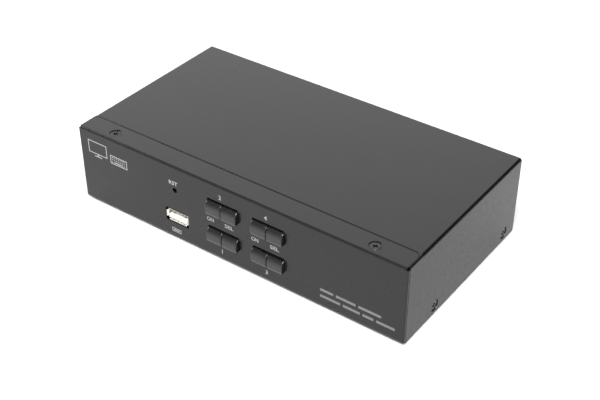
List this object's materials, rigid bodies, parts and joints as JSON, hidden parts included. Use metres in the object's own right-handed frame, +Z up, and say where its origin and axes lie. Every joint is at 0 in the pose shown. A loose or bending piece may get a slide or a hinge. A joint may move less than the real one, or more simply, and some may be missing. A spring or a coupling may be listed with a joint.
{
  "type": "kvm switch",
  "caption": "Low black steel desktop box that shares one keyboard, screen and mouse between computers, with push keys and a socket in front and sockets behind.",
  "frame": {"origin": "bottom centre of the whole object's box, on the surface that the feet stand on", "axes": "+X to the right along the front panel, +Y from the front panel to the rear, +Z up"},
  "size_m": [0.2, 0.1102, 0.0452],
  "materials": {
    "case_paint": "matt black powder coat on steel",
    "black_steel": "black zinc-plated screws",
    "foot_rubber": "matt black rubber",
    "board_laminate": "green solder mask over glass laminate",
    "plated_steel": "nickel-plated",
    "black_plastic": "moulded, matt",
    "lamp_lens": "milky clear lens",
    "socket_steel": "nickel-plated, bright",
    "white_plastic": "moulded, white",
    "insert_plastic": "moulded, black",
    "contact_metal": "gold-flashed",
    "spring_steel": "drawn wire",
    "key_plastic": "smoked black, satin gloss",
    "bare_aluminium": "bare, fine-grained"
  },
  "bodies": {
    "chassis": {"base_tray": "case_paint", "top_cover": "case_paint", "cover_screws": "black_steel", "foot_front_left": "foot_rubber", "foot_front_right": "foot_rubber", "foot_back_left": "foot_rubber", "foot_back_right": "foot_rubber", "main_board": "board_laminate", "upper_board": "board_laminate", "front_board": "board_laminate", "tray_standoffs": "plated_steel", "board_spacers": "plated_steel", "front_posts": "plated_steel", "board_screws": "plated_steel", "stacking_header": "black_plastic", "stacking_socket": "black_plastic", "front_board_header": "black_plastic", "key_lamps": "lamp_lens", "reset_switch": "black_plastic", "power_jack": "black_plastic", "power_jack_pin": "contact_metal", "headphone_jack": "black_plastic", "microphone_jack": "black_plastic", "switching_chip": "black_plastic", "heat_sink": "bare_aluminium", "control_chips": "black_plastic", "capacitors": "bare_aluminium", "key_switch_1": "black_plastic", "key_switch_2": "black_plastic", "key_switch_3": "black_plastic", "key_switch_4": "black_plastic", "return_spring_1": "spring_steel", "return_spring_2": "spring_steel", "return_spring_3": "spring_steel", "return_spring_4": "spring_steel", "front_usb_shell": "socket_steel", "front_usb_insert": "white_plastic", "usb_contacts": "contact_metal", "console_usb_shells": "socket_steel", "console_usb_inserts": "white_plastic", "console_video_shell": "socket_steel", "video_inserts": "insert_plastic", "computer_usb_inserts": "white_plastic", "computer_video_shell_1": "socket_steel", "computer_video_shell_2": "socket_steel", "computer_video_shell_3": "socket_steel", "computer_video_shell_4": "socket_steel", "computer_usb_shell_1": "socket_steel", "computer_usb_shell_2": "socket_steel", "computer_usb_shell_3": "socket_steel", "computer_usb_shell_4": "socket_steel"},
    "reset_button": {"reset_plunger": "black_plastic"},
    "key_1": {"key_cap_1": "key_plastic", "key_stem_1": "white_plastic"},
    "key_2": {"key_cap_2": "key_plastic", "key_stem_2": "white_plastic"},
    "key_3": {"key_cap_3": "key_plastic", "key_stem_3": "white_plastic"},
    "key_4": {"key_cap_4": "key_plastic", "key_stem_4": "white_plastic"}
  },
  "joints": [
    {"name": "key_1_press", "type": "slide", "parent": "chassis", "child": "key_1", "axis": [0, 1, 0], "range_m": [0, 0.0012], "stiffness_N_per_m": 500, "springref_m": -0.0012, "deforming": ["return_spring_1"]},
    {"name": "key_2_press", "type": "slide", "parent": "chassis", "child": "key_2", "axis": [0, 1, 0], "range_m": [0, 0.0012], "stiffness_N_per_m": 500, "springref_m": -0.0012, "deforming": ["return_spring_2"]},
    {"name": "key_3_press", "type": "slide", "parent": "chassis", "child": "key_3", "axis": [0, 1, 0], "range_m": [0, 0.0012], "stiffness_N_per_m": 500, "springref_m": -0.0012, "deforming": ["return_spring_3"]},
    {"name": "key_4_press", "type": "slide", "parent": "chassis", "child": "key_4", "axis": [0, 1, 0], "range_m": [0, 0.0012], "stiffness_N_per_m": 500, "springref_m": -0.0012, "deforming": ["return_spring_4"]},
    {"name": "reset_press", "type": "slide", "parent": "chassis", "child": "reset_button", "axis": [0, 1, 0], "range_m": [0, 0.0003], "stiffness_N_per_m": 2500, "springref_m": -0.0003}
  ]
}
